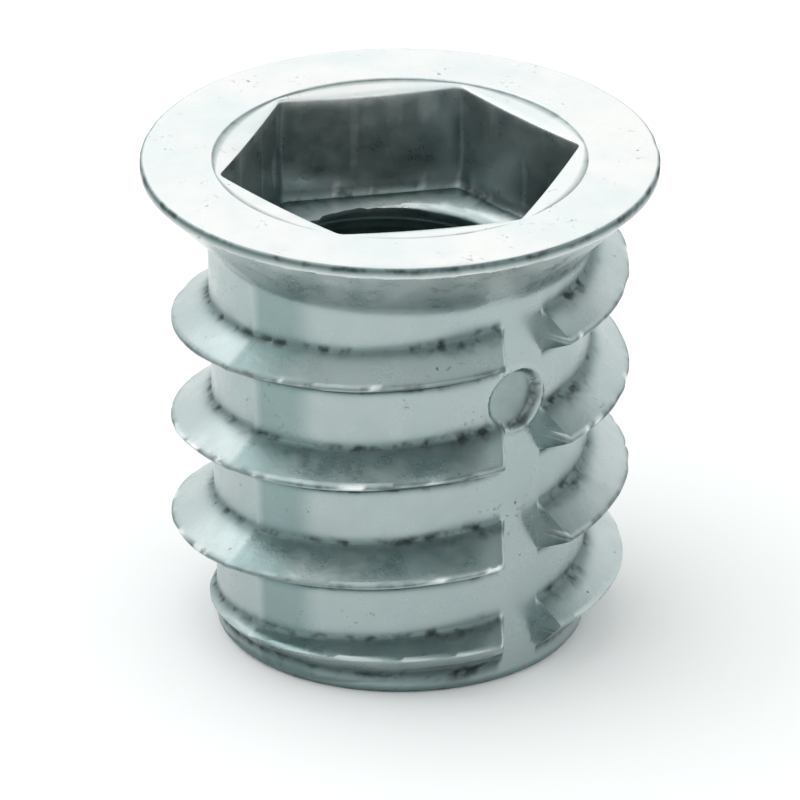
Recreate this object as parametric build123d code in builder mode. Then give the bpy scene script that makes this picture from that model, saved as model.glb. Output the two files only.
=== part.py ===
from build123d import *
import os
from math import cos, radians, sqrt, tan

# Furniture insert nut, one zinc die casting: a flange with a hexagon socket, a coarse outer thread for
# wood that two moulding lands interrupt, and a bore for an M8 screw.
# Millimetres. Origin at the centre of the bottom end, +Z up along the screw axis,
# +X through the land that carries the gate mark. The hexagon has corners on the X axis.

# Overall
HEIGHT = 13.0
FLANGE_DIA = 13.3

# Screw that goes down through the socket into the bore; the key for the socket is of the same size
SCREW_DIA = 8.0
SCREW_PITCH = 1.25

# Hexagon socket
SOCKET_CLEARANCE = 0.10         # across the flats, over the screw and the key
SOCKET_DEPTH = 2.9
SOCKET_CORNER_RADIUS = 0.25
LEAD_IN_ANGLE = 6.0             # degrees, shallow bevel round the socket's mouth
LEAD_IN_MARGIN = 0.12           # how far the bevel reaches past the hexagon's corners

# Bore, at the minor diameter of the screw's thread
BORE_CHAMFER = 0.45

# Flange: a thin rim over a cone that runs down into the neck
RIM_THICKNESS = 0.26
RIM_EDGE_RADIUS = 0.09
FLANGE_CONE_ANGLE = 45.0        # degrees below the horizontal
NECK_FILLET = 0.7

# Core, with the draft of the die
SOCKET_WALL = 0.29              # between the socket's corners and the top of the neck
CORE_DRAFT_ANGLE = 1.3          # degrees from the screw axis
BASE_CHAMFER = 0.18

# Outer wood thread, right hand
THREAD_DEPTH = 0.94             # ridge height above the top of the neck
THREAD_PITCH = 2.79
THREAD_UPPER_FLANK = 32.0       # degrees between the upper flank and the horizontal
THREAD_LOWER_FLANK = 26.0
THREAD_CREST_WIDTH = 0.12
THREAD_CREST_DROP = 3.42        # from the top face down to the highest crest on the +X axis
THREAD_ROOT_OVERLAP = 0.45      # how far the ridge starts inside the core
RUNOUT_START = 0.58             # height where the ridge begins to rise from the core
RUNOUT_ANGLE = 46.0             # degrees, slope of the cone that trims the lower end

# Moulding lands: two strips without thread, on +X and the same turned half round on -X
LAND_CLEAR_SIDE = 0.66          # from the middle to the side the ridge climbs away from, square to the land
LAND_DRAFTED_SIDE = 0.80        # from the middle to the other side, at the core
LAND_DRAFT_ANGLE = 38.0         # degrees that the drafted side opens outwards

# Gate mark on the +X land
GATE_DIA = 1.65
GATE_DEPTH = 0.15
GATE_DROP = 5.0                 # from the top face down to its centre
GATE_SIDE_SHIFT = -0.30

# Worked out from the above
THREAD_MINOR_FACTOR = 1.0825    # ISO metric thread: minor diameter is the major less this times the pitch
bore_r = (SCREW_DIA - THREAD_MINOR_FACTOR * SCREW_PITCH) / 2
socket_corner_r = (SCREW_DIA + SOCKET_CLEARANCE) / sqrt(3)
socket_reach = socket_corner_r - SOCKET_CORNER_RADIUS * (1 / cos(radians(30)) - 1)
socket_floor = HEIGHT - SOCKET_DEPTH
lead_in_r = socket_corner_r + LEAD_IN_MARGIN
flange_r = FLANGE_DIA / 2
core_top_r = socket_reach + SOCKET_WALL
rim_bottom = HEIGHT - RIM_THICKNESS
neck_top = rim_bottom - (flange_r - core_top_r) * tan(radians(FLANGE_CONE_ANGLE))
core_bottom_r = core_top_r - neck_top * tan(radians(CORE_DRAFT_ANGLE))
thread_r = core_top_r + THREAD_DEPTH
outside_r = max(flange_r, thread_r) + 1

os.makedirs("parts", exist_ok=True)

# The outline of the casting: base chamfer, drafted core, neck fillet, flange cone and rim
with BuildPart() as blank:
    with BuildSketch(Plane.XZ) as outline:
        with BuildLine():
            Polyline(
                (0, 0),
                (core_bottom_r - BASE_CHAMFER, 0),
                (core_bottom_r, BASE_CHAMFER),
                (core_top_r, neck_top),
                (flange_r, rim_bottom),
                (flange_r, HEIGHT),
                (0, HEIGHT),
                close=True,
            )
        make_face()
        neck_corner = outline.vertices().sort_by_distance((core_top_r, neck_top))[0]
        fillet(neck_corner, radius=NECK_FILLET)
        rim_corner = outline.vertices().sort_by_distance((flange_r, HEIGHT))[0]
        fillet(rim_corner, radius=RIM_EDGE_RADIUS)
    revolve(axis=Axis.Z)

# The helical ridge: a trapezium swept up a right-hand helix that passes the highest +X crest.
# It starts on +X below the bottom end and stops on -X under the flange.
crest_height = HEIGHT - THREAD_CREST_DROP
turns_below = int(crest_height / THREAD_PITCH) + 1
helix_start = crest_height - turns_below * THREAD_PITCH
helix_rise = (turns_below + 0.5) * THREAD_PITCH
ridge_root_r = core_bottom_r - THREAD_ROOT_OVERLAP
ridge_half_crest = THREAD_CREST_WIDTH / 2
ridge_depth = thread_r - ridge_root_r
ridge_root_below = ridge_half_crest + ridge_depth * tan(radians(THREAD_LOWER_FLANK))
ridge_root_above = ridge_half_crest + ridge_depth * tan(radians(THREAD_UPPER_FLANK))

with BuildPart() as ridge:
    with BuildLine() as helix:
        Helix(THREAD_PITCH, helix_rise, ridge_root_r, center=(0, 0, helix_start))
    with BuildSketch(Plane.XZ):
        with BuildLine():
            Polyline(
                (ridge_root_r, helix_start - ridge_root_below),
                (thread_r, helix_start - ridge_half_crest),
                (thread_r, helix_start + ridge_half_crest),
                (ridge_root_r, helix_start + ridge_root_above),
                close=True,
            )
        make_face()
    sweep(path=helix.line, is_frenet=True)

    # Trimmed to the run-out cone at the lower end
    with BuildSketch(Plane.XZ):
        with BuildLine():
            runout_rise = (outside_r - core_bottom_r) * tan(radians(RUNOUT_ANGLE))
            Polyline(
                (0, RUNOUT_START),
                (core_bottom_r, RUNOUT_START),
                (outside_r, RUNOUT_START + runout_rise),
                (outside_r, HEIGHT),
                (0, HEIGHT),
                close=True,
            )
        make_face()
    revolve(axis=Axis.Z, mode=Mode.INTERSECT)

    # Interrupted by the two lands
    with BuildSketch(Plane.XY):
        with BuildLine():
            drafted_reach = (outside_r - core_top_r) * tan(radians(LAND_DRAFT_ANGLE))
            Polyline(
                (0, -LAND_DRAFTED_SIDE),
                (core_top_r, -LAND_DRAFTED_SIDE),
                (outside_r, -LAND_DRAFTED_SIDE - drafted_reach),
                (outside_r, LAND_CLEAR_SIDE),
                (0, LAND_CLEAR_SIDE),
                close=True,
            )
        make_face()
    land_cut = extrude(amount=HEIGHT, mode=Mode.PRIVATE)
    add(land_cut, mode=Mode.SUBTRACT)
    add(land_cut, rotation=(0, 0, 180), mode=Mode.SUBTRACT)

with BuildPart() as insert_body:
    add(blank.part)
    add(ridge.part)

    # Gate mark, a round shallow recess on the +X land
    gate_height = HEIGHT - GATE_DROP
    land_r = core_bottom_r + (core_top_r - core_bottom_r) * gate_height / neck_top
    with BuildSketch(Plane.YZ.offset(land_r - GATE_DEPTH)):
        with Locations((GATE_SIDE_SHIFT, gate_height)):
            Circle(GATE_DIA / 2)
    extrude(amount=THREAD_DEPTH, mode=Mode.SUBTRACT)

    # Shallow bevel round the mouth of the socket
    with BuildSketch(Plane.XZ):
        with BuildLine():
            bevel_drop = lead_in_r * tan(radians(LEAD_IN_ANGLE))
            Polyline((0, HEIGHT), (lead_in_r, HEIGHT), (0, HEIGHT - bevel_drop), close=True)
        make_face()
    revolve(axis=Axis.Z, mode=Mode.SUBTRACT)

    # Hexagon socket
    with BuildSketch(Plane.XY.offset(socket_floor)) as hexagon:
        RegularPolygon(socket_corner_r, 6)
        fillet(hexagon.vertices(), radius=SOCKET_CORNER_RADIUS)
    extrude(amount=SOCKET_DEPTH, mode=Mode.SUBTRACT)

    # Screw bore, with a chamfer at the bottom end
    with BuildSketch(Plane.XZ):
        with BuildLine():
            Polyline(
                (0, 0),
                (bore_r + BORE_CHAMFER, 0),
                (bore_r, BORE_CHAMFER),
                (bore_r, HEIGHT),
                (0, HEIGHT),
                close=True,
            )
        make_face()
    revolve(axis=Axis.Z, mode=Mode.SUBTRACT)

insert_body.part.label = "insert_body"
export_step(insert_body.part, "parts/insert_body.step")
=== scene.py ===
"""Looks of a flanged threaded insert: one plated zinc die casting on a plain studio floor.

Lengths are worked out in millimetres in the part's own frame and become metres when a mesh is made.
"""

import logging
import math
from dataclasses import dataclass, field
from enum import Enum
from typing import NamedTuple

import bmesh
import bpy
import numpy as np
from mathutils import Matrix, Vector


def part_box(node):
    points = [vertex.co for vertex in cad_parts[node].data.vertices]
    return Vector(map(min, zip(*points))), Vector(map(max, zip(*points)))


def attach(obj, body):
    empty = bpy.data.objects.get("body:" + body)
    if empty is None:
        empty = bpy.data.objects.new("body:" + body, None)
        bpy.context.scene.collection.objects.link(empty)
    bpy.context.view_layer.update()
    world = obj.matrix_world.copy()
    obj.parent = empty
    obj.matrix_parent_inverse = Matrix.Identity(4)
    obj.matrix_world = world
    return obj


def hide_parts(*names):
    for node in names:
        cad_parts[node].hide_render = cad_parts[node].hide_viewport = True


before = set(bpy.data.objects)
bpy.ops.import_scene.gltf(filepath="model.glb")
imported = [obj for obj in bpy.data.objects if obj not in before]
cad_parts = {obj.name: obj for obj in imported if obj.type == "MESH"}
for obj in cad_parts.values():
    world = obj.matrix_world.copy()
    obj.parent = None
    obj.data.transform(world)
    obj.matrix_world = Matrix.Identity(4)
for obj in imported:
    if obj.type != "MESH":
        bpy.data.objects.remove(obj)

LOG = logging.getLogger("threaded_insert")
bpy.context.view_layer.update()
NODE = "insert_body"
MM = 0.001
TURN = 2.0 * math.pi
Array = np.ndarray
Colour = tuple[float, float, float, float]


def lattice_noise(x: Array, y: Array, z: Array, cell: float, seed: int) -> Array:
    """Smooth random values on a cubic lattice, from -1 to 1.

    Each lattice corner gets a hashed value, and a point takes the blend of its eight corners with the
    weight 3t^2 - 2t^3 along each axis.

    Args:
        x, y, z: coordinates in millimetres, all of one shape.
        cell: lattice spacing in millimetres.
        seed: picks one pattern.

    Returns:
        Values of the same shape.
    """
    shape = np.shape(x)
    point = np.stack([np.broadcast_to(a, shape).ravel() for a in (x, y, z)], axis=1) / cell
    corner = np.floor(point).astype(np.int64)
    part = point - corner
    weight = part * part * (3.0 - 2.0 * part)
    total = np.zeros(len(point))
    for step in np.ndindex(2, 2, 2):
        at = (corner + np.array(step)).astype(np.uint64)
        code = at[:, 0] * np.uint64(73856093) ^ at[:, 1] * np.uint64(19349663)
        code = code ^ at[:, 2] * np.uint64(83492791) ^ np.uint64(seed * 2654435761 % 2**32)
        code = (code ^ (code >> np.uint64(15))) * np.uint64(2246822519) & np.uint64(0xFFFFFFFF)
        code = (code ^ (code >> np.uint64(13))) * np.uint64(3266489917) & np.uint64(0xFFFFFFFF)
        value = ((code >> np.uint64(8)) & np.uint64(0xFFFF)).astype(float) / 32767.5 - 1.0
        share = np.prod(np.where(np.array(step) == 1, weight, 1.0 - weight), axis=1)
        total += value * share
    return total.reshape(shape)


def smooth_step(value: Array, low: float, high: float) -> Array:
    """0 below low, 1 above high, and 3t^2 - 2t^3 between them."""
    share = np.clip((value - low) / (high - low), 0.0, 1.0)
    return share * share * (3.0 - 2.0 * share)


def smooth_max(first: Array, second: Array, reach: float) -> Array:
    """The larger of two values, rounded by (reach - gap)^2 / 4 reach where their gap is under reach."""
    near = np.maximum(reach - np.abs(first - second), 0.0)
    return np.maximum(first, second) + near * near / (4.0 * reach)


def angle_between(theta: Array, centre: float) -> Array:
    """The signed angle from centre to theta, from -pi to pi."""
    return (theta - centre + math.pi) % TURN - math.pi


def bell(value: Array, width: float | Array) -> Array:
    """A bell that is 1 at value 0 and falls as exp(-(value / width)^2)."""
    return np.exp(-(value / width) ** 2)


class Pattern(Enum):
    """The casting's own patterns of unevenness, and those that place the painted highlights on the crest, each
    as its cell in millimetres and its seed.
    """

    THREAD_WOBBLE = (1.7, 5)
    CREST_WEAR = (0.55, 11)
    CREST_CHIPS = (0.22, 12)
    # places painted highlights along the crest
    FINE_GLINTS = (0.23, 13)
    RUNOUT = (0.8, 14)
    # places painted highlights along the crest
    GLINT_STRETCHES = (2.2, 15)
    # places painted highlights along the crest
    COARSE_GLINTS = (0.61, 16)
    LAND_EDGE = (0.45, 21)
    SKIN = (1.3, 31)
    SKIN_RIPPLE = (0.45, 32)
    FLANGE_WAVES = (1.4, 41)
    FLANGE_PITS = (0.33, 42)
    RIM_WEAR = (0.6, 51)
    RIM_CHIPS = (0.28, 52)
    SOCKET_HOLLOWS = (0.9, 61)
    SOCKET_SCRATCHES = (0.5, 62)
    BURR = (0.3, 71)

    def at(self, x: Array, y: Array, z: Array) -> Array:
        """This pattern's value from -1 to 1 at points given in millimetres."""
        cell, seed = self.value
        return lattice_noise(x, y, z, cell, seed)


@dataclass
class MeshSheet:
    """Vertices, marks and faces of one closed mesh, collected surface by surface."""

    points: list[Array] = field(default_factory=list)
    marks: list[Array] = field(default_factory=list)
    shades: list[Array] = field(default_factory=list)
    quads: list[Array] = field(default_factory=list)
    triangles: list[Array] = field(default_factory=list)
    count: int = 0
    sharp_over: float = math.radians(48.0)      # edges that turn more than this are shaded sharp

    def add_points(self, x: Array, y: Array, z: Array, mark: Array, shade: Array) -> Array:
        """Adds points and returns their indices.

        Args:
            x, y, z: coordinates in millimetres.
            mark: how much of the darker painted shade each point takes, 0 to 1.
            shade: how much of the greyer painted shade it takes, 0 to 1.

        Returns:
            Indices of the shape of x.
        """
        shape = np.shape(x)
        z = np.broadcast_to(z, shape)
        mark = np.broadcast_to(mark, shape)
        shade = np.broadcast_to(shade, shape)
        self.shades.append(shade.ravel())
        self.points.append(np.stack([x.ravel(), y.ravel(), z.ravel()], axis=1))
        self.marks.append(mark.ravel())
        first = self.count
        self.count += x.size
        return np.arange(first, self.count).reshape(shape)

    def add_quads(self, a: Array, b: Array, c: Array, d: Array) -> None:
        """Adds faces a, b, c, d, leaving out those that collapse and closing up those that lose one side.

        Args:
            a, b, c, d: vertex indices of each face's corners, in order round it.
        """
        a, b, c, d = (v.ravel() for v in (a, b, c, d))
        left_gone = a == d
        right_gone = b == c
        whole = ~left_gone & ~right_gone
        self.quads.append(np.stack([a, b, c, d], axis=1)[whole])
        left = left_gone & ~right_gone
        self.triangles.append(np.stack([a, b, c], axis=1)[left])
        right = right_gone & ~left_gone
        self.triangles.append(np.stack([a, b, d], axis=1)[right])

    def join_rings(self, rings: Array) -> None:
        """Joins each closed ring to the next with quads.

        Args:
            rings: vertex indices, one row a ring.
        """
        after = np.roll(rings, -1, axis=1)
        self.add_quads(rings[:-1], after[:-1], after[1:], rings[1:])

    def zip_rings(self, outer: Array, outer_angle: Array, inner: Array, inner_angle: Array) -> None:
        """Joins two closed rings of different counts with triangles, going round both in step.

        Args:
            outer, inner: vertex indices round each ring.
            outer_angle, inner_angle: their rising angles in radians, both rings starting near angle 0.
        """
        steps = np.concatenate([outer_angle[1:], [outer_angle[0] + TURN],
                                inner_angle[1:], [inner_angle[0] + TURN]])
        is_outer = np.arange(len(steps)) < len(outer)
        order = np.argsort(steps, kind="stable")
        is_outer = is_outer[order]
        on_outer = np.cumsum(is_outer)
        on_inner = np.cumsum(~is_outer)
        before_outer = outer[(on_outer - is_outer) % len(outer)]
        before_inner = inner[(on_inner - ~is_outer) % len(inner)]
        after = np.where(is_outer, outer[on_outer % len(outer)], inner[on_inner % len(inner)])
        self.triangles.append(np.stack([before_outer, after, before_inner], axis=1))

    def build(self, name: str) -> bpy.types.Object:
        """Makes the Blender mesh, with all normals outwards.

        Args:
            name: the new object's name.

        Returns:
            The object, at the origin, in metres.
        """
        points = np.concatenate(self.points) * MM
        quads, triangles = np.concatenate(self.quads), np.concatenate(self.triangles)
        used, places = np.unique(np.concatenate([quads.ravel(), triangles.ravel()]), return_inverse=True)
        quad_count = len(quads)
        places = places.ravel()
        quads = places[:quad_count * 4].reshape(-1, 4)
        triangles = places[quad_count * 4:].reshape(-1, 3)
        faces = quads.tolist() + triangles.tolist()
        mesh = bpy.data.meshes.new(name)
        mesh.from_pydata(points[used], [], faces)
        # the two attributes hold painted shade: a darker share and a greyer share
        for label, values in (("dark_shade", self.marks), ("grey_shade", self.shades)):
            attribute = mesh.attributes.new(label, "FLOAT", "POINT")
            attribute.data.foreach_set("value", np.concatenate(values)[used].astype(np.float32))
        work = bmesh.new()
        work.from_mesh(mesh)
        bmesh.ops.recalc_face_normals(work, faces=work.faces)
        if work.calc_volume(signed=True) < 0:
            bmesh.ops.reverse_faces(work, faces=work.faces)
        open_edges = sum(1 for e in work.edges if len(e.link_faces) != 2)
        work.to_mesh(mesh)
        work.free()
        mesh.shade_smooth()
        mesh.set_sharp_from_angle(angle=self.sharp_over)
        piece = bpy.data.objects.new(name, mesh)
        bpy.context.scene.collection.objects.link(piece)
        mesh.calc_loop_triangles()
        LOG.info("%s: %d triangles, %d open edges", name, len(mesh.loop_triangles), open_edges)
        return piece


@dataclass
class HelicalGrid:
    """A closed band of rows that climb with a thread, cut level at both ends.

    Row i stands at height start + i * step + pitch * angle / turn, so it meets row i + rows_per_turn where
    the band closes. Points past either end are moved onto that end's ring.
    """

    angles: Array
    low: float
    high: float
    pitch: float
    rows_per_turn: int
    through: float              # one row passes this height at angle 0

    def grid(self) -> tuple[Array, Array, Array, Array]:
        """Works out the rows.

        Returns:
            Angle and height of each point, and masks of the points on the low and the high ring.
        """
        step = self.pitch / self.rows_per_turn
        below = math.ceil((self.through - self.low + self.pitch) / step) + 1
        start = self.through - below * step
        rows = math.ceil((self.high - start) / step) + 2
        level = start + step * np.arange(rows)[:, None]
        height = level + self.pitch * self.angles[None, :] / TURN
        snap = 0.3 * step
        at_low = height <= self.low + snap
        at_high = height >= self.high - snap
        height = np.where(at_low, self.low, np.where(at_high, self.high, height))
        angle = np.broadcast_to(self.angles[None, :], height.shape)
        return angle, height, at_low, at_high

    def add(self, sheet: MeshSheet, radius: Array, mark: Array, shade: Array) -> tuple[Array, Array]:
        """Adds the band to a mesh.

        Args:
            sheet: the mesh that is being collected.
            radius: distance from the screw axis of each grid point.
            mark: darker painted shade at each grid point.
            shade: greyer painted shade at each grid point.

        Returns:
            Vertex indices of the low ring and of the high ring.
        """
        angle, height, at_low, at_high = self.grid()
        index = sheet.add_points(radius * np.cos(angle), radius * np.sin(angle), height, mark, shade)
        low_ring = index[0]
        high_ring = index[-1]
        index = np.where(at_low, low_ring[None, :], np.where(at_high, high_ring[None, :], index))
        lap = np.concatenate([index[self.rows_per_turn:, 0],
                              np.full(self.rows_per_turn, high_ring[0])])
        wide = np.concatenate([index, lap[:, None]], axis=1)
        sheet.add_quads(wide[:-1, :-1], wide[:-1, 1:], wide[1:, 1:], wide[1:, :-1])
        return low_ring, high_ring


@dataclass
class NodeBench:
    """Adds nodes to one material; what it makes reads the piece's Object coordinates or attributes."""

    tree: bpy.types.NodeTree
    place: bpy.types.NodeSocket = field(init=False)

    def __post_init__(self) -> None:
        """Adds the node that gives Object coordinates."""
        self.place = self.tree.nodes.new("ShaderNodeTexCoord").outputs["Object"]

    def join(self, source: bpy.types.NodeSocket, target: bpy.types.NodeSocket) -> None:
        """Links an output to an input."""
        self.tree.links.new(source, target)

    def attribute(self, name: str) -> bpy.types.NodeSocket:
        """Reads a vertex attribute.

        Args:
            name: the attribute's name on the mesh.

        Returns:
            Its value output.
        """
        node = self.tree.nodes.new("ShaderNodeAttribute")
        node.attribute_name = name
        return node.outputs["Fac"]

    def noise(self, cell_mm: float, detail: float, rough: float = 0.5) -> bpy.types.NodeSocket:
        """Adds noise in the piece's own space.

        Args:
            cell_mm: size of its largest cells in millimetres.
            detail: octaves above the first.
            rough: weight of each finer octave.

        Returns:
            Its factor output.
        """
        node = self.tree.nodes.new("ShaderNodeTexNoise")
        node.inputs["Scale"].default_value = 1.0 / (cell_mm * MM)
        node.inputs["Detail"].default_value = detail
        node.inputs["Roughness"].default_value = rough
        self.join(self.place, node.inputs["Vector"])
        return node.outputs["Fac"]

    def remap(self, value: bpy.types.NodeSocket, low: float, high: float, to_low: float = 0.0,
              to_high: float = 1.0) -> bpy.types.NodeSocket:
        """Maps one range to another in a straight line, clamped at both ends.

        Args:
            value: the output to map.
            low, high: its range.
            to_low, to_high: the range it becomes.

        Returns:
            The mapped output.
        """
        node = self.tree.nodes.new("ShaderNodeMapRange")
        for name, number in (("From Min", low), ("From Max", high), ("To Min", to_low), ("To Max", to_high)):
            node.inputs[name].default_value = number
        self.join(value, node.inputs["Value"])
        return node.outputs["Result"]

    def combine(self, kind: str, first: bpy.types.NodeSocket, second: bpy.types.NodeSocket | float
                ) -> bpy.types.NodeSocket:
        """Does one step of arithmetic, clamped to 0..1.

        Args:
            kind: the operation's name in Blender.
            first: the first value.
            second: the second value, an output or a number.

        Returns:
            The result output.
        """
        node = self.tree.nodes.new("ShaderNodeMath")
        node.operation = kind
        node.use_clamp = True
        self.join(first, node.inputs[0])
        if isinstance(second, float):
            node.inputs[1].default_value = second
        else:
            self.join(second, node.inputs[1])
        return node.outputs[0]

    def blend(self, share: bpy.types.NodeSocket, first: Colour | bpy.types.NodeSocket, second: Colour
              ) -> bpy.types.NodeSocket:
        """Mixes two colours.

        Args:
            share: how much of the second colour there is.
            first: a colour or a colour output.
            second: a colour.

        Returns:
            The colour output.
        """
        node = self.tree.nodes.new("ShaderNodeMix")
        node.data_type = "RGBA"
        self.join(share, node.inputs["Factor"])
        start, end = (s for s in node.inputs if s.type == "RGBA")
        if isinstance(first, tuple):
            start.default_value = first
        else:
            self.join(first, start)
        end.default_value = second
        return next(s for s in node.outputs if s.type == "RGBA")

    def relief(self, height: bpy.types.NodeSocket, height_mm: float, under: bpy.types.NodeSocket | None
               ) -> bpy.types.NodeSocket:
        """Adds a bump.

        Args:
            height: the height from 0 to 1.
            height_mm: what a height of 1 stands for, in millimetres.
            under: normal of the bump below it, or None for the first.

        Returns:
            The normal output.
        """
        node = self.tree.nodes.new("ShaderNodeBump")
        node.inputs["Strength"].default_value = 1.0
        node.inputs["Distance"].default_value = height_mm * MM
        self.join(height, node.inputs["Height"])
        if under is not None:
            self.join(under, node.inputs["Normal"])
        return node.outputs["Normal"]


@dataclass(frozen=True)
class PlatedZinc:
    """Bright blue-white zinc plating over a die casting, in colours of linear light and millimetres."""

    bright: Colour = (0.735, 0.75, 0.735, 1.0)
    cool: Colour = (0.67, 0.72, 0.72, 1.0)
    # grey-green of the greyer painted shade
    grey_shade: Colour = (0.20, 0.285, 0.285, 1.0)
    # near-black of the darker painted shade and of the real loose specks
    shade_and_speck_colour: Colour = (0.028, 0.036, 0.036, 1.0)
    drift_cell: float = 2.4
    patch_cell: float = 0.42
    loose_cell: float = 0.9
    cloud_cell: float = 0.7
    swell_cell: float = 1.1
    swell_height: float = 0.008
    grain_cell: float = 0.16
    grain_height: float = 0.0036
    roughness: float = 0.30
    rough_spread: float = 0.16
    shade_and_speck_roughness: float = 0.4

    def shade_and_specks(self, bench: NodeBench) -> bpy.types.NodeSocket:
        """Painted dark shade in patches where its attribute asks for it, and a few real loose specks anywhere.

        Args:
            bench: the material's nodes.

        Returns:
            The share of painted dark shade and specks, from 0 to 1.
        """
        patches = bench.remap(bench.noise(self.patch_cell, 2.0), 0.48, 0.66, 0.50, 0.97)
        # painted dark shade, broken into patches
        patchy_shade = bench.combine("MULTIPLY", bench.attribute("dark_shade"), patches)
        specks = bench.remap(bench.noise(self.grain_cell, 2.0, 0.6), 0.62, 0.70)
        loose = bench.remap(bench.noise(self.loose_cell, 1.0), 0.55, 0.75, 0.0, 0.7)
        return bench.combine("MAXIMUM", patchy_shade, bench.combine("MULTIPLY", specks, loose))

    def colour(self, bench: NodeBench, shaded_or_specked: bpy.types.NodeSocket) -> bpy.types.NodeSocket:
        """Two whites that drift into each other, greyed by painted shade from one attribute and darkened by
        painted dark shade and specks.

        Args:
            bench: the material's nodes.
            shaded_or_specked: the share of painted dark shade and specks.

        Returns:
            The colour output.
        """
        drift = bench.remap(bench.noise(self.drift_cell, 2.0), 0.38, 0.62)
        tint = bench.blend(drift, self.bright, self.cool)
        tint = bench.blend(bench.attribute("grey_shade"), tint, self.grey_shade)
        return bench.blend(shaded_or_specked, tint, self.shade_and_speck_colour)

    def material(self) -> bpy.types.Material:
        """Makes the metal.

        Returns:
            The material, reading Object coordinates and the two attributes of painted shade.
        """
        made = bpy.data.materials.new("plated_zinc")
        made.use_nodes = True
        shader = made.node_tree.nodes["Principled BSDF"]
        shader.inputs["Metallic"].default_value = 1.0
        bench = NodeBench(made.node_tree)
        shaded_or_specked = self.shade_and_specks(bench)
        bench.join(self.colour(bench, shaded_or_specked), shader.inputs["Base Color"])
        half = self.rough_spread / 2
        cloud = bench.remap(bench.noise(self.cloud_cell, 4.0, 0.6), 0.3, 0.7, self.roughness - half,
                            self.roughness + half)
        rough = bench.combine("ADD", cloud, bench.combine("MULTIPLY", shaded_or_specked, self.shade_and_speck_roughness))
        bench.join(rough, shader.inputs["Roughness"])
        swell = bench.relief(bench.noise(self.swell_cell, 2.0), self.swell_height, None)
        grain = bench.relief(bench.noise(self.grain_cell, 3.0), self.grain_height, swell)
        bench.join(grain, shader.inputs["Normal"])
        return made


class Side(Enum):
    """The two moulding lands, by the angle of their centre in radians."""

    GATE = 0.0
    PLAIN = math.pi


class Seam(Enum):
    """The two parting lines of the mould, by their angle in radians."""

    LEFT = -math.pi / 2
    RIGHT = math.pi / 2


@dataclass(frozen=True)
class Wear:
    """Greatest depths of the wear and unevenness, in millimetres."""

    thread_wobble: float = 0.035
    crest: float = 0.06
    runout: float = 0.012
    land_edge: float = 0.04
    skin: float = 0.012
    skin_ripple: float = 0.006
    flange_waves: float = 0.006
    flange_pits: float = 0.035
    rim: float = 0.05
    socket_hollows: float = 0.018
    burr: float = 0.10
    burr_reach: float = 0.12


@dataclass(frozen=True)
class PaintedShading:
    """How much painted shade each place takes, from 0 to 1: a greyer share and a darker share."""

    core_grey_shade: float = 0.66
    root_grey_shade: float = 0.95
    crest_grey_shade: float = 0.95
    gate_grey_shade: float = 0.8
    seam_band_shade: float = 0.26                     # painted dark reflection band, added beside the left seam
    neck_painted_light: float = 0.80                    # share of the painted shade that the neck and cone lose, painted light there
    scratch_shine: float = 0.9                  # share that a scratch in the socket loses
    end_dark_shade: float = 0.45
    underside_dark_shade: float = 0.55
    crest_dark_shade: float = 0.75
    gate_dark_shade: float = 0.15
    socket_dark_shade: float = 0.12


@dataclass(frozen=True)
class OuterSkin:
    """The outside before wear, at each point of a grid. Lengths are in millimetres."""

    theta: Array
    z: Array
    x: Array                    # with y, a point at the thread's radius, where patterns are read
    y: Array
    plain: Array                # radius of the core and the flange cone
    ridge: Array                # radius of the thread, trimmed by the lands and the run-out
    limit: Array                # radius that the lands leave free
    away: Array                 # height above the nearest crest
    trimmed: Array              # 1 where a land has cut the thread

    def pattern(self, kind: Pattern) -> Array:
        """A pattern's value at each point."""
        return kind.at(self.x, self.y, self.z)

    def off_land(self) -> Array:
        """0 on the lands and 1 where the thread is free."""
        return smooth_step(self.limit - self.plain, 0.02, 0.3)

    def gap(self) -> Array:
        """Distance from the root, where the ridge and the core meet."""
        return np.abs(self.ridge - self.plain)


class Ring(NamedTuple):
    """One ring of points; each value is a number or an array of one value a column."""

    radius: Array | float
    height: Array | float
    # share of the darker painted shade
    dark_shade: Array | float
    # share of the greyer painted shade
    grey_shade: Array | float


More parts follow.
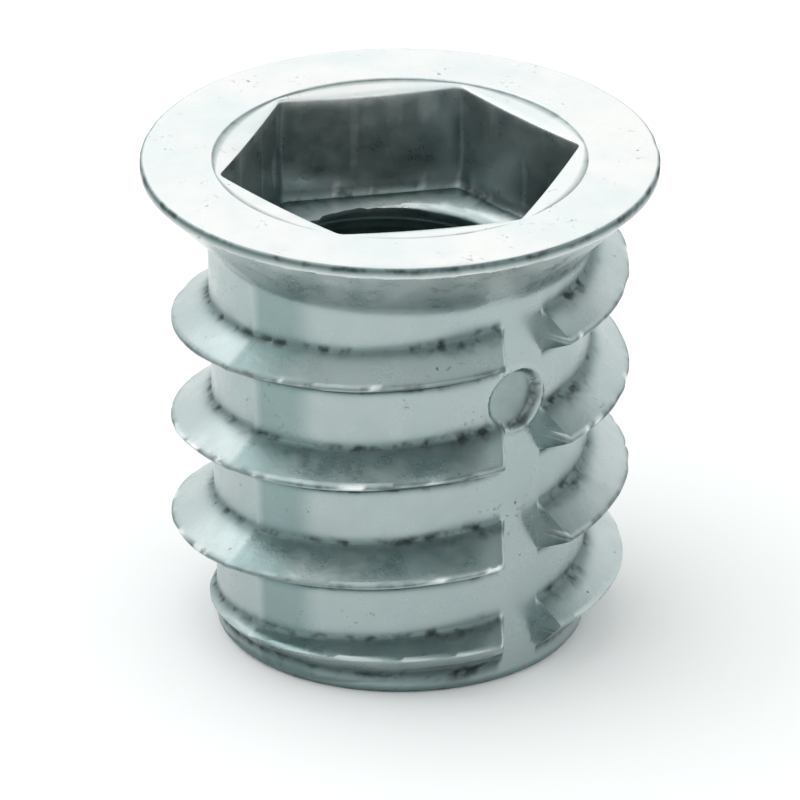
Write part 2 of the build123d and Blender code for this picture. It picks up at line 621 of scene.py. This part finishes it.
@dataclass
class InsertCasting:
    """The whole insert: outer thread on a drafted core, flange, hexagon socket, tapped bore, bottom end."""

    height: float
    flange_r: float
    rim: float = 0.26
    rim_round: float = 0.09
    cone_slope: float = 1.0                     # rise of the flange cone per millimetre of radius
    neck_round: float = 0.26
    core_top_r: float = 4.928
    core_bottom_r: float = 4.68
    base_chamfer: float = 0.18
    thread_r: float = 5.868
    pitch: float = 2.79
    flank_above: float = math.radians(32.0)
    flank_below: float = math.radians(26.0)
    crest: float = 0.10
    crest_drop: float = 3.42
    root_round: float = 0.09
    runout_start: float = 0.58
    runout: float = math.radians(46.0)
    runout_round: float = 0.14
    land_clear_side: float = 0.66
    land_drafted_side: float = 0.80
    land_draft: float = math.radians(38.0)
    parting_step: float = 0.045
    parting_width: float = math.radians(1.6)
    gate_r: float = 0.825
    gate_depth: float = 0.17
    gate_lip: float = 0.045
    gate_drop: float = 5.0
    gate_shift: float = -0.30
    socket_flat: float = 4.05                   # from the axis to a flat
    socket_depth: float = 2.9
    socket_round: float = 0.25
    socket_draft: float = 0.03                  # how much nearer the axis a flat is at the ledge
    lead_in: float = math.radians(6.0)
    lead_in_margin: float = 0.12
    lead_in_step: float = 0.045
    screw_minor_r: float = 3.323
    screw_major_r: float = 3.96
    screw_pitch: float = 1.25
    bore_chamfer: float = 0.45
    rows_per_turn: int = 48
    bore_rows_per_turn: int = 16
    bore_columns: int = 96
    column_step: float = math.radians(1.36)
    gate_column_step: float = math.radians(0.66)
    wear: Wear = Wear()
    painted_shading: PaintedShading = PaintedShading()
    sheet: MeshSheet = field(default_factory=MeshSheet)

    def columns(self) -> Array:
        """Angles of the outer columns: even round the thread and closer on the lands."""
        clear = math.asin(self.land_clear_side / self.core_top_r)
        wide = math.radians(15.5)
        margin = math.radians(2.0)
        fine = np.arange(-wide, clear + margin, self.gate_column_step)
        free = np.arange(clear + margin, math.pi - wide, self.column_step)
        half = np.concatenate([fine, free])
        return np.sort(np.concatenate([half + side.value for side in Side]) % TURN)

    def plain_radius(self, z: Array) -> Array:
        """Radius of the core and the flange cone at a height, without the thread.

        The core is a straight line from the bottom end to the neck, and the cone a straight line down from
        the rim. The larger of the two holds, rounded where they meet.

        Args:
            z: height in millimetres.

        Returns:
            Radius in millimetres, no more than the flange's.
        """
        neck = self.height - self.rim - (self.flange_r - self.core_top_r) * self.cone_slope
        core = self.core_bottom_r + (self.core_top_r - self.core_bottom_r) * z / neck
        cone = self.flange_r - (self.height - self.rim - z) / self.cone_slope
        return np.minimum(smooth_max(core, cone, self.neck_round), self.flange_r)

    def land_limit(self, theta: Array, plain: Array) -> Array:
        """Radius that the ridge may reach beside a land.

        The clear side is a wall along a ray. The drafted side is a plane that opens outwards from the core,
        and a ray meets it at (core * tan(draft) - side) / (cos(t) * tan(draft) - sin(t)).

        Args:
            theta: angle in radians.
            plain: radius of the core there.

        Returns:
            Radius in millimetres, no more than the core inside a land and large away from it.
        """
        turned = angle_between(2.0 * theta, 0.0) / 2.0
        open_by = math.tan(self.land_draft)
        falling = np.maximum(np.cos(turned) * open_by - np.sin(np.abs(turned)), 1e-3)
        drafted = (self.core_top_r * open_by - self.land_drafted_side) / falling
        side = math.asin(2.0 * self.land_clear_side / (self.core_top_r + self.thread_r))
        blur = math.radians(0.45)
        grown = smooth_step(turned, side - blur, side + blur)
        return np.where(turned < 0, drafted, plain - 0.2 + 3.0 * grown)

    def skin(self, theta: Array, z: Array) -> OuterSkin:
        """Works out the core and the thread.

        The ridge falls from its crest at 1 / tan(flank) per millimetre of height, is trimmed by the run-out
        cone of the bottom end, and stops at the lands.

        Args:
            theta: angle in radians.
            z: height in millimetres.

        Returns:
            The outside before wear.
        """
        x, y = self.thread_r * np.cos(theta), self.thread_r * np.sin(theta)
        plain = self.plain_radius(z)
        climb = z - (self.height - self.crest_drop + self.pitch * angle_between(theta, 0.0) / TURN)
        lap = np.minimum(np.round(climb / self.pitch), 0.0)
        away = climb - lap * self.pitch + self.wear.thread_wobble * Pattern.THREAD_WOBBLE.at(x, y, z)
        slope = np.where(away > 0, math.tan(self.flank_above), math.tan(self.flank_below))
        worn_off = self.wear.crest * np.maximum(Pattern.CREST_WEAR.at(x, y, z) - 0.25, 0.0)
        worn_off = worn_off + self.wear.crest * np.maximum(Pattern.CREST_CHIPS.at(x, y, z) - 0.45, 0.0)
        ridge = self.thread_r - np.maximum(np.abs(away) - self.crest / 2, 0.0) / slope
        ridge = np.minimum(ridge, self.thread_r - worn_off)
        runout = self.core_bottom_r + (z - self.runout_start) / math.tan(self.runout)
        runout = runout + self.wear.runout * Pattern.RUNOUT.at(x, y, z)
        ridge = -smooth_max(-ridge, -runout, self.runout_round)
        limit = self.land_limit(theta, plain) + self.wear.land_edge * Pattern.LAND_EDGE.at(x, y, z)
        trimmed = np.clip((ridge - limit) / 0.1, 0.0, 1.0)
        return OuterSkin(theta, z, x, y, plain, np.minimum(ridge, limit), limit, away, trimmed)

    def gate_place(self, theta: Array, z: Array, radius: Array) -> tuple[Array, Array, Array, Array]:
        """Where points lie as seen from the gate mark.

        Args:
            theta: angle in radians.
            z: height in millimetres.
            radius: radius in millimetres.

        Returns:
            Distances across, up and in all from the mark's centre, and a mask of the land's half.
        """
        across = radius * np.sin(theta) - self.gate_shift
        up = z - (self.height - self.gate_drop)
        return across, up, np.hypot(across, up), np.cos(theta - Side.GATE.value) > 0

    def gate(self, theta: Array, z: Array, radius: Array) -> Array:
        """Depth of the gate mark: a round recess, deeper on one side, with a slightly raised lip.

        Args:
            theta: angle in radians.
            z: height in millimetres.
            radius: radius in millimetres.

        Returns:
            How far the outside is cut back, in millimetres, and less than 0 on the lip.
        """
        across, _, off, front = self.gate_place(theta, z, radius)
        floor = self.gate_depth * (1.0 + 0.35 * across / self.gate_r)
        dent = floor * (1.0 - smooth_step(off, self.gate_r - 0.10, self.gate_r + 0.02))
        lip = self.gate_lip * bell(off - self.gate_r - 0.06, 0.06)
        return np.where(front, dent - lip, 0.0)

    def gate_marks(self, skin: OuterSkin, radius: Array) -> tuple[Array, Array]:
        """Painted shade of the gate mark.

        Args:
            skin: the outside before wear.
            radius: radius of the finished outside.

        Returns:
            1 inside the mark, which is painted darker as shade, and a crescent of painted shade along its lower
            wall.
        """
        across, up, off, front = self.gate_place(skin.theta, skin.z, radius)
        inside = front * (1.0 - smooth_step(off, self.gate_r - 0.05, self.gate_r + 0.03))
        low = smooth_step((across - up) / np.maximum(off, 0.05), 0.2, 1.2)
        return inside, front * low * bell(off - self.gate_r + 0.08, 0.10)

    def outer_radius(self, skin: OuterSkin) -> Array:
        """Radius of the finished outside: thread joined to the core, gate mark, uneven skin and seams.

        Args:
            skin: the outside before wear.

        Returns:
            Radius in millimetres.
        """
        root = smooth_max(skin.plain, skin.ridge, self.root_round)
        radius = np.where(skin.ridge > skin.plain - self.root_round, root, skin.plain)
        radius = radius - self.gate(skin.theta, skin.z, radius)
        radius = radius + self.wear.skin * skin.pattern(Pattern.SKIN)
        radius = radius + self.wear.skin_ripple * skin.pattern(Pattern.SKIN_RIPPLE)
        parting = np.minimum(*(np.abs(angle_between(skin.theta, seam.value)) for seam in Seam))
        return radius + self.parting_step * bell(parting, self.parting_width)

    def crest_shade_and_glints(self, skin: OuterSkin) -> tuple[Array, Array]:
        """The crest line painted dark as shade, and bright spots on it along some stretches, as painted
        highlights.

        Args:
            skin: the outside before wear.

        Returns:
            How worn and how nicked each point is, from 0 to 1.
        """
        crest_line = bell(skin.away - 0.02, 0.06) * smooth_step(skin.ridge - skin.plain, 0.3, 0.6)
        glint_noise = skin.pattern(Pattern.FINE_GLINTS) + skin.pattern(Pattern.COARSE_GLINTS)
        glints = smooth_step(glint_noise, 0.15, 0.60) * crest_line
        return crest_line, glints * smooth_step(skin.pattern(Pattern.GLINT_STRETCHES), -0.35, 0.05)

    def seam_band(self, theta: Array) -> Array:
        """A painted dark reflection band beside the left seam: it starts at the seam and fades out over the next
        24 degrees.
        """
        past = theta - (Seam.LEFT.value + TURN)
        grown = smooth_step(past, math.radians(0.5), math.radians(2.0))
        return grown * (1.0 - smooth_step(past, math.radians(14.0), math.radians(24.0)))

    def outer_painted_shade(self, skin: OuterSkin, radius: Array) -> tuple[Array, Array]:
        """Painted shade of the outside: a darker share and a greyer share.

        The darker painted shade lies in the roots, most of all beside the lands, on the thread's cut ends, under
        its crest, along the crest line and in the gate mark. The greyer painted shade covers the core and is
        heavier in the roots, under and along the crest, at the bottom end, inside the gate mark and in a painted
        dark reflection band beside the left seam. Both are left off bright spots on the crest, which read as
        painted highlights, and the greyer share is mostly taken off the neck and the flange cone, as painted
        light.

        Args:
            skin: the outside before wear.
            radius: radius of the finished outside.

        Returns:
            The darker and the greyer painted shade, from 0 to 1.
        """
        painted_shading = self.painted_shading
        gap, off_land = skin.gap(), skin.off_land()
        crest_line, glints = self.crest_shade_and_glints(skin)
        inside, crescent = self.gate_marks(skin, radius)
        half = self.crest / 2
        # painted shade under the crest, on the lower flank
        under = smooth_step(-skin.away, half - 0.03, half + 0.03) * (skin.away > -0.5) * off_land
        under = under * smooth_step(gap, 0.05, 0.3)

        # painted shade in the roots, widest beside the lands
        from_land = np.abs(np.abs(angle_between(2.0 * skin.theta, 0.0)) / 2.0 - math.radians(20.0))
        corner = bell(gap, 0.15 + 0.20 * bell(from_land, math.radians(14.0))) * off_land
        # painted shade on the thread's cut ends
        ends = painted_shading.end_dark_shade * skin.trimmed * smooth_step(skin.ridge - skin.plain, 0.02, 0.3)
        dark_shade = np.maximum(np.maximum(corner, ends), np.maximum(painted_shading.underside_dark_shade * under, crescent))
        # darker painted shade along the crest line, left off bright spots that read as painted highlights, and
        # inside the gate mark
        dark_shade = np.maximum(dark_shade, np.maximum(painted_shading.crest_dark_shade * (crest_line - glints), painted_shading.gate_dark_shade * inside))

        # greyer painted shade over the core, heavier in the roots
        grey_shade = painted_shading.core_grey_shade + (painted_shading.root_grey_shade - painted_shading.core_grey_shade) * bell(gap, 0.26) * off_land
        # painted light: the neck and the flange cone lose most of their painted shade
        neck = smooth_step(skin.z, self.height - 2.05, self.height - 1.80) * (skin.ridge < skin.plain)
        grey_shade = np.maximum(grey_shade * (1.0 - painted_shading.neck_painted_light * neck), under)
        # painted shade along the crest line, left off the bright spots, which are painted highlights
        grey_shade = np.maximum(grey_shade, painted_shading.crest_grey_shade * crest_line) * (1.0 - glints)
        # painted shade at the bottom end
        grey_shade = np.maximum(grey_shade, 1.0 - smooth_step(skin.z, 0.20, 0.42))
        # painted dark reflection band beside the left seam
        grey_shade = np.minimum(grey_shade + painted_shading.seam_band_shade * self.seam_band(skin.theta) * (1.0 - crest_line), 1.0)
        # painted shade inside the gate mark
        grey_shade = np.maximum(grey_shade, painted_shading.gate_grey_shade * inside)
        return np.clip(dark_shade, 0.0, 1.0), grey_shade

    def hexagon(self, theta: Array) -> Array:
        """Radius of the socket: flat / cos(angle from the flat), with an arc at each corner.

        Args:
            theta: angle in radians.

        Returns:
            Radius in millimetres.
        """
        corner = math.pi / 3
        off_flat = (theta % corner) - corner / 2
        sharp = self.socket_flat / np.cos(off_flat)
        off_corner = np.abs(np.abs(off_flat) - corner / 2)
        centre = (self.socket_flat - self.socket_round) / math.cos(corner / 2)
        inside = np.maximum(self.socket_round**2 - (centre * np.sin(off_corner)) ** 2, 0.0)
        arc = centre * np.cos(off_corner) + np.sqrt(inside)
        reach = math.atan2(self.socket_round / 2, self.socket_flat / math.cos(corner / 2))
        return np.where(off_corner < reach, np.minimum(arc, sharp), sharp)

    def screw(self, theta: Array, z: Array) -> Array:
        """Radius of the tapped bore: a flat-topped triangle wave between the minor and major radius.

        Args:
            theta: angle in radians.
            z: height in millimetres.

        Returns:
            Radius in millimetres, opened by the chamfer at the bottom end.
        """
        phase = (z / self.screw_pitch - theta / TURN) % 1.0
        wave = np.abs(phase - 0.5) * 2.0
        depth = self.screw_major_r - self.screw_minor_r
        cut = self.screw_minor_r + depth * np.clip((wave - 0.22) / 0.66, 0.0, 1.0)
        return np.maximum(cut, self.screw_minor_r + self.bore_chamfer - z)

    def add_rings(self, theta: Array, rings: list[Ring]) -> Array:
        """Adds rings of points.

        Args:
            theta: angles of the columns.
            rings: the rings in order.

        Returns:
            Vertex indices, one row a ring.
        """
        spread = ([np.broadcast_to(value, theta.shape) for value in ring] for ring in rings)
        r, z, dark_shade, grey_shade = (np.stack(rows) for rows in zip(*spread))
        angle = np.broadcast_to(theta, r.shape)
        return self.sheet.add_points(r * np.cos(angle), r * np.sin(angle), z, dark_shade, grey_shade)

    def add_outside(self, theta: Array) -> tuple[Array, Array]:
        """Adds the outside from the rim down to the bottom end's face.

        Args:
            theta: angles of the columns.

        Returns:
            Vertex indices of the ring round the bottom face and of the ring under the rim.
        """
        band = HelicalGrid(theta, self.base_chamfer, self.height - self.rim, self.pitch,
                           self.rows_per_turn, self.height - self.crest_drop)
        angle, level, _, at_high = band.grid()
        skin = self.skin(angle, level)
        radius = self.outer_radius(skin)
        dark_shade, grey_shade = self.outer_painted_shade(skin, radius)
        radius = np.where(at_high, self.flange_r - 0.004, radius)
        low_ring, high_ring = band.add(self.sheet, np.minimum(radius, self.flange_r), dark_shade, grey_shade)
        chamfer = self.base_chamfer
        # the bottom chamfer is painted dark as shade
        bottom = self.add_rings(theta, [Ring(self.core_bottom_r - chamfer * 0.5, chamfer * 0.36, 0.7, 1.0),
                                        Ring(self.core_bottom_r - chamfer, 0.0, 0.4, 0.9)])
        self.sheet.join_rings(np.concatenate([low_ring[None, :], bottom]))
        return bottom[-1], high_ring

    def rim_rings(self, theta: Array) -> list[Ring]:
        """The rim's rounded and nicked upper edge, as a quarter circle, with painted shade on its side only."""
        x, y = self.flange_r * np.cos(theta), self.flange_r * np.sin(theta)
        top = np.full(theta.shape, self.height)
        nick = self.wear.rim * np.maximum(Pattern.RIM_WEAR.at(x, y, top) - 0.2, 0.0)
        nick = nick + self.wear.rim * np.maximum(Pattern.RIM_CHIPS.at(x, y, top) - 0.5, 0.0)
        rings = []
        # painted shade on the rim's side, fading out over the rounded edge
        for turn, dark_shade, grey_shade in ((0.0, 0.9, 1.0), (30.0, 0.9, 1.0), (60.0, 0.5, 0.6), (90.0, 0.0, 0.0)):
            a = math.radians(turn)
            rings.append(Ring(self.flange_r - self.rim_round * (1 - math.cos(a)) - nick,
                              self.height - self.rim_round * (1 - math.sin(a)) - nick * 0.5, dark_shade, grey_shade))
        return rings

    def face_rings(self, theta: Array, lead_r: float) -> list[Ring]:
        """The flange's top with its shallow waves and small pits, never above the face.

        Args:
            theta: angles of the columns.
            lead_r: radius where the socket's lead-in starts.

        Returns:
            The rings from the rim inwards.
        """
        top = np.full(theta.shape, self.height)
        rings = []
        for r in np.linspace(self.flange_r - self.rim_round - 0.12, lead_r + 0.03, 9):
            x, y = r * np.cos(theta), r * np.sin(theta)
            waves = self.wear.flange_waves * (1.0 + Pattern.FLANGE_WAVES.at(x, y, top)) / 2
            pits = self.wear.flange_pits * np.maximum(Pattern.FLANGE_PITS.at(x, y, top) - 0.62, 0.0)
            rings.append(Ring(r, top - waves - pits, 0.0, 0.0))
        return rings

    def socket_rings(self, theta: Array, lead_r: float) -> list[Ring]:
        """The lead-in cone, the hexagon's walls and the edge of the ledge below them.

        Args:
            theta: angles of the columns.
            lead_r: radius where the lead-in starts.

        Returns:
            The rings from the lead-in's edge downwards.
        """
        socket = self.hexagon(theta)
        mouth = socket + 0.07
        rings = []
        # the lead-in's outer edge is painted as a thin line of shade
        for share, dark_shade, grey_shade in ((0.0, 0.4, 0.8), (0.33, 0.0, 0.0), (0.66, 0.0, 0.0), (1.0, 0.0, 0.0)):
            r = lead_r + (mouth - lead_r) * share
            z = self.height - self.lead_in_step - (lead_r - r) * math.tan(self.lead_in)
            rings.append(Ring(r, z, dark_shade, grey_shade))
        lip = rings[-1].height
        floor = self.height - self.socket_depth
        # painted shade on the socket walls
        rings.append(Ring(socket + 0.02, lip - 0.02, self.painted_shading.socket_dark_shade, 0.0))
        rings.append(Ring(socket, lip - 0.08, self.painted_shading.socket_dark_shade, 0.3))
        x, y = self.flange_r * np.cos(theta), self.flange_r * np.sin(theta)
        # the two lowest wall rings take more of the darker painted shade
        lower_dark_shade = [self.painted_shading.socket_dark_shade] * 10 + [0.35, 0.8]
        for share, dark_shade in zip(np.linspace(0.12, 0.97, 12), lower_dark_shade):
            z = lip + (floor - lip) * share
            hollow = self.wear.socket_hollows * Pattern.SOCKET_HOLLOWS.at(x * 0.7, y * 0.7, z)
            scratches = smooth_step(Pattern.SOCKET_SCRATCHES.at(x * 1.5, y * 1.5, z * 0.4), 0.35, 0.65)
            # greyer painted shade, heavier deeper down, lifted by real scratches
            grey_shade = (0.30 + 0.45 * share) * (1.0 - self.painted_shading.scratch_shine * scratches)
            rings.append(Ring(socket - self.socket_draft * share + hollow, z, dark_shade, grey_shade))
        # the ledge's edge is painted dark as shade
        rings.append(Ring(socket - 0.10, floor, 0.8, 1.0))
        return rings

    def add_top(self, theta: Array, high_ring: Array) -> Array:
        """Adds the rim, the flange's face and the socket.

        Args:
            theta: angles of the columns.
            high_ring: vertex indices of the ring under the rim.

        Returns:
            Vertex indices of the ring round the ledge.
        """
        lead_r = self.socket_flat / math.cos(math.pi / 6) + self.lead_in_margin
        rings = self.rim_rings(theta) + self.face_rings(theta, lead_r) + self.socket_rings(theta, lead_r)
        rows = self.add_rings(theta, rings)
        self.sheet.join_rings(np.concatenate([high_ring[None, :], rows]))
        return rows[-1]

    def add_bore(self, theta: Array, bottom: Array, ledge: Array) -> None:
        """Adds the tapped bore with a ragged burr at the ledge, and the flat faces at both its ends.

        Args:
            theta: angles of the outer columns.
            bottom: vertex indices of the ring round the bottom face.
            ledge: vertex indices of the ring round the ledge.
        """
        floor = self.height - self.socket_depth
        turns = np.linspace(0.0, TURN, self.bore_columns + 1)[:-1]
        bore = HelicalGrid(turns, 0.0, floor, self.screw_pitch, self.bore_rows_per_turn, 0.0)
        angle, level, _, _ = bore.grid()
        radius = self.screw(angle, level)
        burr = bell(floor - level, self.wear.burr_reach)
        ragged = Pattern.BURR.at(radius * np.cos(angle), radius * np.sin(angle), level)
        radius = radius - self.wear.burr * burr * (1.0 + ragged)
        # the bore is painted as shade, left off on the burr at the ledge
        low, high = bore.add(self.sheet, radius, 0.2 * (1.0 - burr), 0.9 * (1.0 - burr))
        self.sheet.zip_rings(ledge, theta, high, turns)
        self.sheet.zip_rings(bottom, theta, low, turns)

    def build(self) -> bpy.types.Object:
        """Builds the casting from the bottom end, up the outside, over the flange and down the bore.

        Returns:
            The finished piece.
        """
        theta = self.columns()
        bottom, high_ring = self.add_outside(theta)
        ledge = self.add_top(theta, high_ring)
        self.add_bore(theta, bottom, ledge)
        piece = self.sheet.build("insert_casting")
        piece.data.materials.append(PlatedZinc().material())
        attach(piece, "root")
        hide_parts(NODE)
        return piece


@dataclass(frozen=True)
class SoftLamp:
    """One square soft lamp aimed at the object."""

    name: str
    turn: float                 # round from the camera, to the right, in radians
    rise: float                 # above the floor, in radians
    size: float                 # side in metres
    power: float                # watts
    distance: float = 0.35


@dataclass
class Studio:
    """Plain pale floor, soft light from a bright horizon with a dim zenith, and the camera. In metres."""

    azimuth: float = math.radians(49.0)
    elevation: float = math.radians(25.8)
    distance: float = 0.70
    picture_width: float = 0.02051              # across the picture at the object
    aim_height: float = 0.00612
    floor_size: float = 0.6
    floor_colour: Colour = (0.97, 0.97, 0.97, 1.0)
    floor_roughness: float = 0.9
    horizon: float = 1.30                       # radiance of the horizon, which makes up for the dim zenith
    white: Colour = (1.0, 1.0, 1.0, 1.0)
    zenith_colour: Colour = (0.28, 0.335, 0.325, 1.0)
    zenith_lean: float = 0.10                   # how far the dim part leans back, and as far to the right
    zenith_rise: float = 0.98
    bright_below: float = 0.65                  # cosine of the angle from the dim part's middle
    dim_above: float = 0.92
    key: SoftLamp = SoftLamp("key", math.radians(-115.0), math.radians(62.0), 0.50, 0.55)

    def toward(self, turn: float, rise: float) -> Vector:
        """Direction from the object, given from the camera's own azimuth.

        Args:
            turn: angle round from the camera, to the right, in radians.
            rise: angle above the floor in radians.

        Returns:
            A unit vector.
        """
        around = self.azimuth + turn
        return Vector((math.sin(around) * math.cos(rise), -math.cos(around) * math.cos(rise), math.sin(rise)))

    def camera(self) -> None:
        """Stands the camera at its angle and makes it the scene's camera."""
        data = bpy.data.cameras.new("camera")
        data.lens = data.sensor_width * self.distance / self.picture_width
        data.clip_end = 10.0
        camera = bpy.data.objects.new("camera", data)
        direction = self.toward(0.0, self.elevation)
        camera.location = Vector((0.0, 0.0, self.aim_height)) + direction * self.distance
        camera.rotation_euler = direction.to_track_quat("Z", "Y").to_euler()
        bpy.context.scene.collection.objects.link(camera)
        bpy.context.scene.camera = camera

    def floor(self) -> None:
        """Lays a flat pale floor that takes the object's shadow."""
        half = self.floor_size / 2
        mesh = bpy.data.meshes.new("floor")
        corners = [(-half, -half, 0), (half, -half, 0), (half, half, 0), (-half, half, 0)]
        mesh.from_pydata(corners, [], [(0, 1, 2, 3)])
        floor = bpy.data.objects.new("floor", mesh)
        bpy.context.scene.collection.objects.link(floor)
        paint = bpy.data.materials.new("floor_white")
        paint.use_nodes = True
        shader = paint.node_tree.nodes["Principled BSDF"]
        shader.inputs["Base Color"].default_value = self.floor_colour
        shader.inputs["Roughness"].default_value = self.floor_roughness
        shader.inputs["Specular IOR Level"].default_value = 0.0
        mesh.materials.append(paint)

    def world(self) -> None:
        """Makes a world that lights from a bright horizon and a dim zenith, and is plain white to the camera."""
        world = bpy.data.worlds.new("studio")
        bpy.context.scene.world = world
        world.use_nodes = True
        nodes, links = world.node_tree.nodes, world.node_tree.links
        background = nodes["Background"]
        back = Vector((-math.sin(self.azimuth), math.cos(self.azimuth), 0.0))
        right = Vector((math.cos(self.azimuth), math.sin(self.azimuth), 0.0))
        middle = (back + right) * self.zenith_lean + Vector((0, 0, self.zenith_rise))
        aim = nodes.new("ShaderNodeVectorMath")
        aim.operation = "DOT_PRODUCT"
        aim.inputs[1].default_value = middle.normalized()
        links.new(nodes.new("ShaderNodeTexCoord").outputs["Generated"], aim.inputs[0])
        ramp = nodes.new("ShaderNodeValToRGB")
        ramp.color_ramp.interpolation = "EASE"
        stops = ramp.color_ramp.elements
        stops[0].position = self.bright_below
        stops[0].color = self.white
        stops[1].position = self.dim_above
        stops[1].color = self.zenith_colour
        links.new(aim.outputs["Value"], ramp.inputs["Fac"])
        seen = nodes.new("ShaderNodeLightPath").outputs["Is Camera Ray"]
        mix = nodes.new("ShaderNodeMix")
        mix.data_type = "RGBA"
        links.new(seen, mix.inputs["Factor"])
        lit, shown = (s for s in mix.inputs if s.type == "RGBA")
        links.new(ramp.outputs["Color"], lit)
        shown.default_value = self.white
        links.new(next(s for s in mix.outputs if s.type == "RGBA"), background.inputs["Color"])
        level = nodes.new("ShaderNodeMapRange")
        level.inputs["To Min"].default_value = self.horizon
        level.inputs["To Max"].default_value = 1.0
        links.new(seen, level.inputs["Value"])
        links.new(level.outputs["Result"], background.inputs["Strength"])

    def light(self, lamp: SoftLamp) -> None:
        """Hangs one lamp.

        Args:
            lamp: where it hangs and how strong it is.
        """
        data = bpy.data.lights.new(lamp.name, "AREA")
        data.size = lamp.size
        data.energy = lamp.power
        hung = bpy.data.objects.new(lamp.name, data)
        direction = self.toward(lamp.turn, lamp.rise)
        hung.location = direction * lamp.distance
        hung.rotation_euler = direction.to_track_quat("Z", "Y").to_euler()
        bpy.context.scene.collection.objects.link(hung)

    def build(self) -> None:
        """Sets the camera, floor, world, lamp and view."""
        self.camera()
        self.floor()
        self.world()
        self.light(self.key)
        bpy.context.scene.view_settings.view_transform = "Standard"


def main() -> None:
    """Builds the studio and the insert, which takes its height and flange from the frame."""
    logging.basicConfig(level=logging.INFO, format="%(name)s %(message)s")
    Studio().build()
    low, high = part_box(NODE)
    insert = InsertCasting(height=high.z / MM, flange_r=(high.x - low.x) / 2 / MM)
    piece = insert.build()
    LOG.info("built %s", piece.name)


if __name__ == "__main__":
    main()
